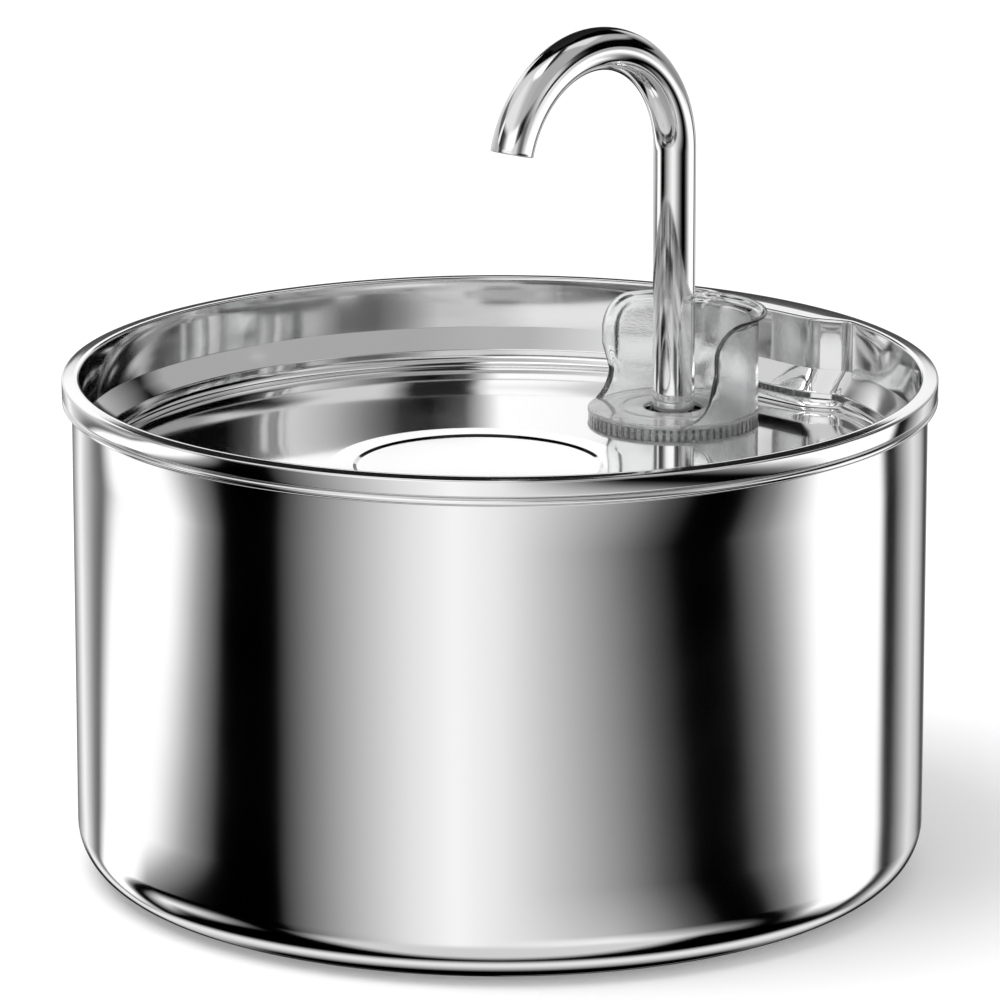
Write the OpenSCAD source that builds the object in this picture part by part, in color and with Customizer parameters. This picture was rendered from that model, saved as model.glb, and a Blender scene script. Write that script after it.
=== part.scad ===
/* [Bowl] */
// Outer radius of the bowl's side
bowl_r = 98.7; // [92:0.1:112]
// Height of the bowl up to the top of its rolled rim
bowl_h = 113.2; // [112:0.1:140]
// Outer radius of the rounded corner at the bowl's foot
bowl_corner = 11.9; // [8:0.1:14]
// Thickness of the bowl's steel sheet
bowl_sheet = 0.7; // [0.5:0.05:1]
// How far the rolled rim stands out from the bowl's side
rim_out = 2.3; // [1.8:0.1:3]
// Height of the rolled rim
rim_h = 2; // [1.6:0.1:3]
// Distance of the underside's raised panel in from the bowl's side
panel_inset = 18.7; // [16.7:0.1:19.2]
// How far the underside panel is pressed up
panel_rise = 1.2; // [0.6:0.1:2]

/* [Tray] */
// Thickness of the tray's steel sheet
tray_sheet = 0.6; // [0.4:0.05:0.8]
// Gap between the tray's wall and the bowl's inside
tray_gap = 0.4; // [0.3:0.05:0.8]
// Height of the tray's lip above the bowl's rim
lip_h = 4.2; // [3.6:0.1:6]
// Depth of the tray from the lip's top to its floor
tray_depth = 20.8; // [19:0.1:23]
// Depth of the straight part of the tray's wall, from the lip's top
wall_depth = 12.2; // [10:0.1:13]
// How far the wall steps in below its straight part
step_in = 4; // [2:0.1:5]
// Height of the sloping step in the wall
step_h = 4.8; // [3:0.1:5]
// Radius of the fillet between the wall's foot and the floor
floor_fillet = 2.5; // [1:0.1:3.2]
// Radius of the drain hole under the splash guard
drain_r = 18; // [17.6:0.1:18.4]
// Outer radius of the shallow landing disc in the floor
disc_r = 34.3; // [28:0.1:35]
// Width of the landing disc's sloping border
disc_border = 6; // [3:0.1:8]
// Depth of the landing disc below the floor
disc_drop = 0.6; // [0.3:0.1:1.2]
// Distance of the landing disc's centre from the bowl's axis, away from the faucet
disc_offset = 7.1; // [4:0.1:7.4]

/* [Cord channel] */
// Depth of the channel's flat face in from the bowl's side
channel_inset = 8.7; // [7.7:0.1:11.7]
// Width of the channel's flat face
channel_w = 29.4; // [24:0.2:34]
// Angle of the channel's slanting ends from its flat face
channel_slant = 27; // [24:1:40]
// Radius of the channel's rounded edges
channel_round = 5; // [2:0.5:6]
// Width of the cord's notch in the lip
notch_w = 6.4; // [5:0.1:9]
// Height of the cord's notch in the lip
notch_h = 2.6; // [2:0.1:2.8]

/* [Faucet] */
// Direction of the faucet and the pump from the bowl's axis
faucet_turn = 45; // [0:1:360]
// Distance of the faucet's axis in from the bowl's side
faucet_inset = 40.7; // [40.2:0.1:42.7]
// Outer radius of the faucet's tube
tube_r = 5; // [4.6:0.05:5.2]
// Wall of the faucet's tube
tube_wall = 0.6; // [0.4:0.05:1]
// Height where the faucet's bend begins, above the tray's lip
bend_start = 43.7; // [38:0.1:80]
// Radius of the faucet's bend along the middle of the tube
bend_r = 27.5; // [20:0.1:30]
// Sweep of the faucet's bend
bend_sweep = 166; // [120:1:180]

/* [Splash guard] */
// Turn of the guard from the line between the faucet and the bowl's axis
guard_turn = -7.5; // [-20:0.5:20]
// Radius of the guard's deck
deck_r = 20.3; // [20.3:0.1:22]
// Thickness of the guard's deck
deck_t = 1; // [0.8:0.1:1.4]
// Height of the comb under the deck
comb_h = 1.4; // [1:0.1:1.6]
// Number of slots in the comb
comb_slots = 72; // [24:1:96]
// Width of a slot in the comb
comb_slot_w = 0.8; // [0.4:0.1:1]
// Outer radius of the guard's shield
shield_r = 20.1; // [19.4:0.1:20.2]
// Wall of the guard's shield
shield_wall = 1.8; // [1.2:0.1:2]
// Height of the shield's top above the deck
shield_h = 23.4; // [20:0.1:28]
// How far the shield reaches forward of the faucet's axis
shield_front = 4.3; // [3:0.1:8]
// Radius of the shield's upper front corners
shield_corner = 8; // [6:0.1:11]
// Radius of the curve at the shield's feet
shield_foot = 7; // [4:0.1:7.5]
// How far the shield's rim turns out
rim_turn_out = 2.3; // [1:0.1:3]
// Thickness of the shield's rim
rim_turn_t = 1.5; // [1:0.1:2]
// Length of the guard's collar below the deck
collar_l = 10; // [8:0.1:11]
// Wall of the guard's collar
collar_wall = 1.2; // [1:0.1:1.4]

/* [Filter] */
// Height of the filter basket
basket_h = 27.6; // [26:0.1:30]
// Wall of the filter basket
basket_wall = 0.9; // [0.7:0.1:1.1]
// Radius of the basket's centre hole
basket_bore = 7.2; // [7:0.1:7.6]
// Height of the filter cartridge
cartridge_h = 22; // [19:0.1:23]
// Wall of the filter cartridge
cartridge_wall = 0.8; // [0.6:0.1:1]
// Height of the fleece at the top of the cartridge
fleece_h = 3; // [2:0.1:5]
// Height of the sponge at the bottom of the cartridge
sponge_h = 6; // [4:0.1:8]

/* [Pump] */
// Height of the rotor's axis above the bowl's floor sheet
rotor_z = 25.1; // [24:0.1:28]
// Length of the pump's housing
housing_l = 32; // [30:0.5:36]
// Width of the pump's housing
housing_w = 30; // [28:0.5:31]
// Height of the pump's housing
housing_h = 33.8; // [33:0.1:36]
// Wall of the pump's housing
housing_wall = 1.8; // [1.4:0.1:2]
// Height of the suction cups under the housing
cup_h = 5.3; // [4.5:0.1:7]
// Radius of the suction cups' lips
cup_r = 5.5; // [4:0.1:5.6]
// Radius of the impeller
impeller_r = 10; // [8:0.1:10.4]
// Number of impeller blades
blade_count = 6; // [4:1:8]
// Radius of the rotor's magnet
magnet_r = 6.5; // [5.5:0.1:6.7]
// Length of the rotor's magnet
magnet_l = 16; // [12:0.5:17]
// Radius of the motor's shaft
shaft_r = 1.5; // [1:0.1:1.8]
// Length of the prefilter cage
cage_l = 17; // [14:0.5:22]

/* [Hidden] */
$fn = 96;
far = 400;          // longer than any cut
clear = 0.3;        // gap between pieces that move past each other
running = 0.05;     // radial gap of a pin in its bore, or of a piece in its seat
past = 1;           // how far a cut runs past the surface that it opens
joined = 0.1;       // overlap of two shapes that are one piece

// Bowl and tray levels and radii
bowl_in = bowl_r - bowl_sheet;
lip_r = bowl_r + rim_out;
panel_r = bowl_r - panel_inset;
panel_slope = 1.5;  // width of the slope round the raised panel
tray_top = bowl_h + lip_h;
lip_round = 1.2;
slit_w = 0.8;
crease_gap = 0.2;   // keeps the channel's creases clear of the wall's
channel_face = bowl_r - channel_inset;
faucet_r = bowl_r - faucet_inset;
floor_z = tray_top - tray_depth;
wall_in = bowl_in - tray_gap - tray_sheet;
wall_out = wall_in + tray_sheet;
foot_in = wall_in - step_in;
bend_z = tray_top - wall_depth;
step_z = bend_z - step_h;
bowl_floor = panel_rise + bowl_sheet;

// Guard levels and radii
comb_top = floor_z + comb_h;
deck_top = comb_top + deck_t;
collar_r = drain_r - clear - joined;
collar_in = collar_r - collar_wall;
collar_z = comb_top - collar_l;
deck_hole = tube_r + 2;
comb_wall = 0.6;    // width of the comb's foot ring beyond the drain hole
boss_r = 12.6;      // radius of the raised ring on the deck
boss_w = 0.6;
boss_h = 0.3;
window_w = 12;      // width of a window in the collar

// Adapter and hose, from the tube's lower end downwards
adapter_r = deck_hole - clear - joined;
adapter_drop = 3;   // depth of the adapter's top below the deck
socket_r = tube_r + running;
socket_l = 11;
tube_z = comb_top - adapter_drop - socket_l;
shoulder_t = 1.6;
hose_top = tube_z - shoulder_t;
spigot_l = 10;
spigot_r = 4.45;
spigot_bore = 3.4;
hose_in = spigot_r + running;
hose_r = basket_bore - clear - 0.4;
seal_t = 0.9;
seal_z = tube_z + socket_l * 0.6;

// Filter
basket_r = collar_in - clear;
basket_up = 5.6;    // how far the basket stands up inside the collar
basket_top = collar_z + basket_up;
basket_z = basket_top - basket_h;
basket_in = basket_r - basket_wall;
sleeve_r = basket_bore + basket_wall;
sleeve_drop = 3;    // depth of the basket's sleeve below the basket's top
base_t = 1;         // thickness of the basket's and the cartridge's floors
slit_margin = 3;    // height of the plain band under the basket's slits
slits = 12;
slit_gap = 2;
holes = 14;         // drain holes round a floor or the cap
cartridge_z = basket_z + base_t;
cartridge_r = basket_in - clear - joined;
cartridge_bore = sleeve_r + clear + joined;
cap_t = 1.4;
fill_r = cartridge_r - cartridge_wall;
fill_in = cartridge_bore + cartridge_wall;
fill_z = cartridge_z + base_t;
fill_top = cartridge_z + cartridge_h - cap_t;

// Pump, along its own axis: the nozzle stands at 0 and the inlet faces the positive way
axis_z = bowl_floor + rotor_z;
housing_z = bowl_floor + cup_h;
housing_top = housing_z + housing_h;
corner = 3;
front = -5;         // joint between the housing and its cover
back = front - housing_l;
flange_t = 2;
face = 5;           // outside of the cover, where the inlet is
face_t = 2;
face_in = 0.4;      // how far the face plate stands in from the housing's sides
chamber_end = face - face_t;
chamber_gap = 1.5;
chamber_r = impeller_r + chamber_gap;
volute_wall = 2;
volute_r = chamber_r + volute_wall;
nozzle_step = 2;    // height of the hose's seat above the housing
boss_top = housing_top + nozzle_step;
nozzle_top = boss_top + spigot_l + past;

// Groove of the cover's seal, in the housing's front
groove_in = chamber_r + 0.5;
groove_out = volute_r - 0.3;
groove_t = 0.8;

// Rotor, its well and its shaft
well_gap = 0.7;
well_r = magnet_r + well_gap;
well_wall = 1.2;
well_l = 22;
well_end = front - well_l;
magnet_drop = 2.5;
magnet_x = front - magnet_drop;
hub_r = 3.2;
blade_t = 1;
disc_x = front + blade_t;
bush_l = 2.4;
bush_wall = 1.35;
seat_r = shaft_r + bush_wall + running;
seat_wall = 1.2;
spider_bore = shaft_r + 0.9;
spider_r = spider_bore + 1;
spider_arm = 1.2;
eye_r = 5.5;

// Stator: a U of laminations whose legs stand beside the well, with the coil on its bar
lam_l = 12;
lam_back = 17;
lam_from = front - lam_back;
bar_drop = 6;
bar_h = 3.6;
bar_z = axis_z - well_r - well_wall - bar_drop;
leg_rise = 9;
leg_gap = 0.7;
leg_out = housing_w / 2 - housing_wall - leg_gap;
leg_in = well_r + well_wall + joined;
bobbin_half = leg_in - clear;
bobbin_wall = 0.8;
flange_w = 1;
coil_t = 1.6;

// Plug and cable gland in the housing's back
plug_in = 0.5;
plug_t = 4.5;
gland_drop = 9;
gland_z = housing_z + gland_drop;
gland_r = 3;
gland_bore = 2.3;
gland_flange_r = 4.4;
gland_flange_t = 2.4;
gland_l = 5;

// Suction cups
cup_front = 4;      // from the front cups to the cover's joint
cup_back = 9;       // from the rear cups to the housing's back
cup_side = 9.5;
cup_lip = 0.6;
cup_hollow = 2;
cup_neck = 3;
cup_stem = 1.8;

// Flow slider and prefilter
slider_gap = 0.2;
slider_t = 1.2;
slider_h = 11;
slider_w = 7;
handle_l = 7.4;
handle_w = 3;
guide_t = 1;
guide_in = 4;
foam_gap = 2;
foam_from = face + foam_gap;
cage_end = face + cage_l;
cage_wall = 1.2;
cage_lift = 2;
cage_bottom = housing_z + cage_lift;
cage_slot = 2;
cage_pitch = 3.6;
cage_margin = 4;    // least distance of a slot from the cage's edge

function arc(x, y, r, from, to, steps = 6) =
    [for (i = [0 : steps]) let (a = from + (to - from) * i / steps) [x + r * cos(a), y + r * sin(a)]];

// Turns its children so that +X points from the bowl's axis to the faucet
module at_turn() {
    rotate([0, 0, faucet_turn])
        children();
}

// Places its children round the faucet's axis, with +X away from the bowl's axis
module at_faucet() {
    at_turn()
        translate([faucet_r, 0, 0])
            children();
}

// Places its children along the pump: local +X along the rotor's axis towards the inlet
module at_pump() {
    at_faucet()
        rotate([0, 0, 90])
            children();
}

// A ring standing on height z
module ring(outer, inner, z, h) {
    translate([0, 0, z])
        difference() {
            cylinder(r = outer, h = h);
            translate([0, 0, -past])
                cylinder(r = inner, h = h + 2 * past);
        }
}

// A solid cylinder along +X round the height z
module bar_x(r, from, to, z) {
    translate([from, 0, z])
        rotate([0, 90, 0])
            cylinder(r = r, h = to - from);
}

// A rectangle with round corners in the Y-Z plane, extruded along X
module slab_x(from, to, width, bottom, top, r) {
    translate([from, 0, 0])
        rotate([90, 0, 90])
            linear_extrude(height = to - from)
                rounded_rect(width, bottom, top, r);
}

module rounded_rect(width, bottom, top, r) {
    translate([-width / 2 + r, bottom])
        square([width - 2 * r, top - bottom]);
    translate([-width / 2, bottom + r])
        square([width, top - bottom - 2 * r]);
    for (x = [-1, 1], y = [bottom + r, top - r])
        translate([x * (width / 2 - r), y])
            circle(r = r);
}

// Half section of a drum with a rounded lower corner
module drum_section(r, z, h, corner) {
    translate([0, z])
        square([r - corner, h]);
    translate([0, z + corner])
        square([r, h - corner]);
    translate([r - corner, z + corner])
        circle(r = corner);
}

module outer_bowl() color([0.80, 0.81, 0.82])
    rotate_extrude()
        difference() {
            union() {
                drum_section(bowl_r, 0, bowl_h, bowl_corner);
                translate([bowl_in, bowl_h - rim_h])
                    square([rim_out + bowl_sheet - rim_h / 2, rim_h]);
                translate([lip_r - rim_h / 2, bowl_h - rim_h / 2])
                    circle(r = rim_h / 2);
            }
            difference() {
                drum_section(bowl_in, bowl_sheet, bowl_h, bowl_corner - bowl_sheet);
                polygon([[0, 0], [panel_r + panel_slope, 0], [panel_r + panel_slope, bowl_sheet],
                    [panel_r, bowl_floor], [0, bowl_floor]]);
            }
            polygon([[-past, -past], [panel_r + panel_slope, -past], [panel_r + panel_slope, 0],
                [panel_r, panel_rise], [-past, panel_rise]]);
        }

// Half section of the room inside the tray, grown by a distance
module tray_room(grow) {
    translate([0, bend_z])
        square([wall_in + grow, tray_top - bend_z + past]);
    polygon([[0, step_z], [foot_in + grow, step_z], [wall_in + grow, bend_z], [0, bend_z]]);
    drum_section(foot_in + grow, floor_z - grow, step_z - floor_z + grow, floor_fillet + grow);
}

// Half section of the tray's lip as a solid
module lip_block() {
    edge = tray_sheet;
    translate([wall_in + edge, bowl_h])
        square([lip_r - lip_round - wall_in - edge, lip_h]);
    translate([wall_in, bowl_h])
        square([edge, lip_h - edge]);
    translate([lip_r - lip_round, bowl_h])
        square([lip_round - edge, lip_h - lip_round]);
    translate([lip_r - edge, bowl_h + edge])
        square([edge, lip_h - lip_round - edge]);
    translate([wall_in + edge, tray_top - edge])
        circle(r = edge);
    translate([lip_r - lip_round, tray_top - lip_round])
        circle(r = lip_round);
    translate([lip_r - edge, bowl_h + edge])
        circle(r = edge);
}

// Half section of the hollow inside the lip and of the slit under it
module lip_hollow() {
    inner = lip_round - tray_sheet;
    translate([wall_out, bowl_h + tray_sheet])
        square([lip_r - lip_round - wall_out, lip_h - 2 * tray_sheet]);
    translate([wall_out, bowl_h + tray_sheet])
        square([lip_r - tray_sheet - wall_out, lip_h - tray_sheet - lip_round]);
    translate([lip_r - lip_round, tray_top - lip_round])
        circle(r = inner);
    translate([wall_out, bowl_h - past])
        square([slit_w, tray_sheet + past + joined]);
}

// Outline of the cord channel from above, with its flat face at a distance from the bowl's axis
function channel_outline(distance) =
    let (half = channel_w / 2 + (channel_face - distance) * tan(channel_slant / 2),
        side = (far / 3 - distance) / tan(channel_slant),
        shift = channel_round * tan(channel_slant / 2))
    concat(
        [[far / 3, -half - side]],
        arc(distance + channel_round, -half + shift, channel_round, channel_slant - 180, -180),
        arc(distance + channel_round, half - shift, channel_round, 180, 180 - channel_slant),
        [[far / 3, half + side]]);

// The cord channel as a solid, moved out by a distance
module channel_solid(out, top) {
    low = channel_outline(channel_face + out - step_in);
    high = channel_outline(channel_face + out);
    n = len(low);
    bottom = floor_z - 2 * past;
    levels = [[low, bottom], [low, step_z - crease_gap], [high, bend_z + crease_gap], [high, top]];
    polyhedron(
        points = [for (level = levels, p = level[0]) [p[0], p[1], level[1]]],
        faces = concat(
            [[for (i = [n - 1 : -1 : 0]) i]],
            [for (k = [0 : 2], i = [0 : n - 1])
                [k * n + i, k * n + (i + 1) % n, (k + 1) * n + (i + 1) % n, (k + 1) * n + i]],
            [[for (i = [0 : n - 1]) 3 * n + i]]));
}

// Places its children on the landing disc's axis, at the height of the tray's floor
module at_disc() {
    at_turn()
        translate([-disc_offset, 0, floor_z])
            children();
}

module drinking_tray() color([0.84, 0.85, 0.86]) {
    disc_in = disc_r - disc_border;
    difference() {
        union() {
            rotate_extrude() {
                intersection() {
                    tray_room(tray_sheet);
                    square([far, tray_top - tray_sheet]);
                }
                lip_block();
            }
            at_disc()
                rotate_extrude()
                    polygon([[0, -disc_drop - tray_sheet], [disc_in, -disc_drop - tray_sheet],
                        [disc_r, -tray_sheet], [disc_in, -tray_sheet / 2], [0, -tray_sheet / 2]]);
            intersection() {
                at_turn()
                    channel_solid(0, tray_top);
                translate([0, 0, tray_top - lip_round])
                    cylinder(r = wall_out + slit_w, h = lip_round);
            }
        }
        difference() {
            rotate_extrude()
                tray_room(0);
            at_turn()
                channel_solid(0, tray_top + 2 * past);
        }
        rotate_extrude()
            lip_hollow();
        at_disc()
            rotate_extrude()
                polygon([[0, -disc_drop], [disc_in, -disc_drop], [disc_r, 0], [disc_r, past], [0, past]]);
        intersection() {
            at_turn()
                channel_solid(tray_sheet, tray_top - tray_sheet - crease_gap);
            cylinder(r = wall_out + slit_w / 2, h = tray_top);
        }
        at_turn()
            translate([wall_in - past, -notch_w / 2, bowl_h - past])
                cube([lip_r - wall_in + 2 * past, notch_w, notch_h + past]);
        at_faucet()
            translate([0, 0, floor_z - tray_sheet - past])
                cylinder(r = drain_r, h = tray_sheet + 2 * past);
    }
}

// The shield seen from the side, with -X forward, drawn in by an inset along its top and front
module shield_side(inset) {
    top = deck_top + shield_h - inset;
    front_x = -shield_front + inset;
    r = shield_corner - inset;
    difference() {
        union() {
            translate([front_x, comb_top])
                square([deck_r * 2, top - comb_top - r]);
            translate([front_x + r, comb_top])
                square([deck_r * 2 - r, top - comb_top]);
            translate([front_x + r, top - r])
                circle(r = r);
            translate([front_x - shield_foot, comb_top])
                square([shield_foot + joined, shield_foot + deck_t]);
        }
        translate([front_x - shield_foot, deck_top + shield_foot])
            circle(r = shield_foot);
    }
}

module shield_slice(inset) {
    rotate([90, 0, 0])
        translate([0, 0, -far / 8])
            linear_extrude(height = far / 4)
                shield_side(inset);
}

module splash_guard() color([0.86, 0.90, 0.92, 0.45]) at_faucet() rotate([0, 0, guard_turn]) {
    ring(deck_r, deck_hole, comb_top, deck_t);
    ring(boss_r, boss_r - boss_w, deck_top - joined, boss_h + joined);
    translate([0, 0, floor_z])
        linear_extrude(height = comb_h)
            difference() {
                circle(r = deck_r);
                circle(r = drain_r + comb_wall);
                for (i = [0 : comb_slots - 1])
                    rotate([0, 0, i * 360 / comb_slots])
                        translate([drain_r, -comb_slot_w / 2])
                            square([deck_r - drain_r + past, comb_slot_w]);
            }
    intersection() {
        ring(shield_r, shield_r - shield_wall, comb_top, far / 4);
        shield_slice(0);
    }
    intersection() {
        ring(shield_r + rim_turn_out, shield_r - shield_wall / 2, deck_top + shield_h / 2, far / 4);
        difference() {
            shield_slice(0);
            shield_slice(rim_turn_t);
        }
    }
    difference() {
        ring(collar_r, collar_in, collar_z, collar_l + joined);
        for (i = [0 : 5])
            rotate([0, 0, i * 60 + 30])
                translate([collar_in - past, -window_w / 2, basket_top + clear])
                    cube([collar_wall + 3 * past, window_w, comb_top - basket_top - clear]);
    }
}

module faucet_tube() color([0.83, 0.84, 0.85]) at_faucet() {
    bend_at = tray_top + bend_start;
    ring(tube_r, tube_r - tube_wall, tube_z, bend_at - tube_z);
    translate([-bend_r, 0, bend_at])
        rotate([90, 0, 0])
            rotate_extrude(angle = bend_sweep)
                translate([bend_r, 0])
                    difference() {
                        circle(r = tube_r);
                        circle(r = tube_r - tube_wall);
                    }
}

// A ring of round drain holes between two radii, through a floor of thickness t
module drain_holes(inner, outer, z, t) {
    for (i = [0 : holes - 1])
        rotate([0, 0, i * 360 / holes])
            translate([(inner + outer) / 2, 0, z - past])
                cylinder(r = (outer - inner) * 0.36, h = t + 2 * past);
}

module filter_basket() color([0.90, 0.92, 0.94, 0.6]) at_faucet() {
    difference() {
        union() {
            ring(basket_r, basket_in, basket_z, basket_h);
            ring(sleeve_r, basket_bore, basket_z, basket_h - sleeve_drop);
            ring(basket_in + joined, sleeve_r - joined, basket_z, base_t);
        }
        drain_holes(sleeve_r, basket_in, basket_z, base_t);
        for (i = [0 : slits - 1])
            rotate([0, 0, i * 360 / slits])
                translate([basket_in - past, -slit_gap / 2, basket_z + slit_margin])
                    cube([basket_wall + 2 * past, slit_gap, collar_z - slit_gap - basket_z - slit_margin]);
    }
}

module cartridge_shell() color([0.93, 0.94, 0.95]) at_faucet() {
    h = cartridge_h - cap_t;
    difference() {
        union() {
            ring(cartridge_r, fill_r, cartridge_z, h);
            ring(fill_in, cartridge_bore, cartridge_z, h);
            ring(fill_r + joined, fill_in - joined, cartridge_z, base_t);
        }
        drain_holes(fill_in, fill_r, cartridge_z, base_t);
    }
}

module cartridge_cap() color([0.88, 0.90, 0.92]) at_faucet() {
    difference() {
        ring(cartridge_r, cartridge_bore, fill_top, cap_t);
        drain_holes(fill_in, fill_r, fill_top, cap_t);
    }
}

// A filter layer that fills the cartridge between two heights
module filter_layer(from, to) {
    at_faucet()
        ring(fill_r - running, fill_in + running, from, to - from);
}

module filter_fleece() color([0.97, 0.97, 0.95])
    filter_layer(fill_top - fleece_h, fill_top);

module carbon_bed() color([0.12, 0.12, 0.13])
    filter_layer(fill_z + sponge_h, fill_top - fleece_h);

module filter_sponge() color([0.30, 0.45, 0.62])
    filter_layer(fill_z, fill_z + sponge_h);

module tube_adapter() color([0.10, 0.10, 0.11]) at_faucet() {
    difference() {
        union() {
            translate([0, 0, hose_top])
                cylinder(r = adapter_r, h = shoulder_t + socket_l);
            translate([0, 0, hose_top - spigot_l])
                cylinder(r = spigot_r, h = spigot_l + joined);
        }
        translate([0, 0, tube_z])
            cylinder(r = socket_r, h = socket_l + past);
        translate([0, 0, hose_top - spigot_l - past])
            cylinder(r = spigot_bore, h = spigot_l + shoulder_t + 2 * past);
        translate([0, 0, seal_z - seal_t / 2])
            cylinder(r = socket_r + seal_t, h = seal_t);
    }
}

module adapter_seal() color([0.55, 0.20, 0.16]) at_faucet()
    translate([0, 0, seal_z])
        rotate_extrude()
            translate([socket_r + seal_t / 2, 0])
                circle(r = seal_t / 2 - running / 2);

module riser_hose() color([0.85, 0.87, 0.88, 0.8]) at_faucet()
    ring(hose_r, hose_in, boss_top, hose_top - boss_top);

module pump_housing() color([0.09, 0.09, 0.10]) at_pump() {
    difference() {
        slab_x(back, front, housing_w, housing_z, housing_top, corner);
        difference() {
            slab_x(back - past, front - housing_wall, housing_w - 2 * housing_wall,
                housing_z + housing_wall, housing_top - housing_wall, corner - housing_wall / 2);
            bar_x(well_r + well_wall, well_end - well_wall, front, axis_z);
        }
        bar_x(well_r, well_end, front + past, axis_z);
        difference() {
            bar_x(groove_out, front - groove_t, front + past, axis_z);
            bar_x(groove_in, front - groove_t - past, front + 2 * past, axis_z);
        }
    }
    difference() {
        bar_x(seat_r + seat_wall, well_end - joined, well_end + bush_l + joined, axis_z);
        bar_x(seat_r, well_end - past, well_end + bush_l + past, axis_z);
    }
}

module pump_cover() color([0.11, 0.11, 0.12]) at_pump() {
    difference() {
        union() {
            slab_x(front, front + flange_t, housing_w, housing_z, housing_top, corner);
            bar_x(volute_r, front + past, face, axis_z);
            slab_x(chamber_end, face, housing_w - 2 * face_in, cage_bottom, housing_top, corner);
            translate([0, 0, housing_top + clear])
                cylinder(r = hose_r, h = boss_top - housing_top - clear);
            translate([0, 0, axis_z])
                cylinder(r = spigot_r, h = nozzle_top - axis_z);
            for (z = [-slider_h / 2 - clear - guide_t, slider_h / 2 + clear])
                translate([face - joined, guide_in - housing_w / 2, axis_z + z])
                    cube([slider_gap + slider_t + joined, housing_w - 2 * guide_in, guide_t]);
        }
        bar_x(chamber_r, front - past, chamber_end, axis_z);
        difference() {
            bar_x(eye_r, front, face + past, axis_z);
            bar_x(spider_r, chamber_end, face + past, axis_z);
            for (i = [0 : 2])
                translate([0, 0, axis_z])
                    rotate([i * 120, 0, 0])
                        translate([chamber_end, -spider_arm / 2, 0])
                            cube([face_t, spider_arm, eye_r + past]);
        }
        bar_x(spider_bore, chamber_end - past, face + past, axis_z);
        translate([0, 0, axis_z])
            cylinder(r = spigot_bore, h = far);
    }
}

module cover_seal() color([0.40, 0.12, 0.10]) at_pump()
    difference() {
        bar_x(groove_out - running, front - groove_t, front, axis_z);
        bar_x(groove_in + running, front - groove_t - past, front + past, axis_z);
    }

module stator_core() color([0.55, 0.56, 0.58]) at_pump()
    difference() {
        translate([lam_from, -leg_out, bar_z])
            cube([lam_l, 2 * leg_out, axis_z + leg_rise - bar_z]);
        translate([lam_from - past, -leg_in, bar_z + bar_h])
            cube([lam_l + 2 * past, 2 * leg_in, far]);
    }

// A block round the stator's bar, grown by a wall on every side
module bar_block(half, wall) {
    translate([lam_from - wall, -half, bar_z - wall])
        cube([lam_l + 2 * wall, 2 * half, bar_h + 2 * wall]);
}

module coil_bobbin() color([0.92, 0.92, 0.88]) at_pump()
    difference() {
        union() {
            bar_block(bobbin_half, bobbin_wall);
            for (side = [-1, 1])
                translate([0, side * (bobbin_half - flange_w / 2), 0])
                    bar_block(flange_w / 2, bobbin_wall + coil_t);
        }
        bar_block(bobbin_half + past, running);
    }

module coil_winding() color([0.72, 0.38, 0.16]) at_pump()
    difference() {
        bar_block(bobbin_half - flange_w - running, bobbin_wall + coil_t - joined);
        bar_block(bobbin_half + past, bobbin_wall + running);
    }

module potting_plug() color([0.06, 0.06, 0.06]) at_pump()
    difference() {
        slab_x(back + plug_in, back + plug_in + plug_t, housing_w - 2 * (housing_wall + running),
            housing_z + housing_wall + running, housing_top - housing_wall - running,
            corner - housing_wall / 2 - running);
        bar_x(gland_r + 2 * running, back, back + plug_in + plug_t + past, gland_z);
    }

module cable_gland() color([0.14, 0.14, 0.15]) at_pump() {
    seat = back + plug_in - joined;
    difference() {
        union() {
            bar_x(gland_r, seat - joined, seat + plug_t, gland_z);
            bar_x(gland_flange_r, seat - gland_flange_t, seat, gland_z);
            bar_x(gland_r + 0.4, seat - gland_flange_t - gland_l, seat - gland_flange_t + joined, gland_z);
        }
        bar_x(gland_bore, seat - gland_flange_t - gland_l - past, seat + plug_t / 2, gland_z);
    }
}

module suction_cups() color([0.70, 0.72, 0.74, 0.8]) at_pump()
    for (x = [front - cup_front, back + cup_back], y = [-cup_side, cup_side])
        translate([x, y, bowl_floor])
            rotate_extrude()
                polygon([[0, cup_hollow], [cup_r - 2 * cup_lip, 0], [cup_r, 0], [cup_r, cup_lip],
                    [cup_neck, cup_neck], [cup_stem, 2 * cup_stem], [cup_stem, cup_h], [0, cup_h]]);

module motor_shaft() color([0.95, 0.94, 0.90]) at_pump()
    bar_x(shaft_r, well_end + clear, face - 2 * clear, axis_z);

module shaft_bushes() color([0.20, 0.20, 0.21]) at_pump() {
    difference() {
        bar_x(seat_r - running, well_end + running, well_end + bush_l, axis_z);
        bar_x(shaft_r + running, well_end - past, well_end + bush_l + past, axis_z);
    }
    difference() {
        bar_x(spider_bore - running, chamber_end, face - clear, axis_z);
        bar_x(shaft_r + running, chamber_end - past, face, axis_z);
    }
}

module rotor_magnet() color([0.25, 0.25, 0.27]) at_pump()
    difference() {
        bar_x(magnet_r, magnet_x - magnet_l, magnet_x, axis_z);
        bar_x(shaft_r + running, well_end, front, axis_z);
    }

module impeller() color([0.90, 0.91, 0.92]) at_pump()
    difference() {
        union() {
            bar_x(hub_r, magnet_x, chamber_end - 2 * clear, axis_z);
            bar_x(impeller_r, disc_x, disc_x + blade_t, axis_z);
            for (i = [0 : blade_count - 1])
                translate([disc_x, 0, axis_z])
                    rotate([i * 360 / blade_count, 0, 0])
                        translate([blade_t / 2, -blade_t / 2, hub_r - blade_t])
                            cube([chamber_end - disc_x - 1.5 * blade_t, blade_t,
                                impeller_r - hub_r + blade_t - 0.2]);
        }
        bar_x(shaft_r + running, magnet_x - past, chamber_end + past, axis_z);
    }

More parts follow.
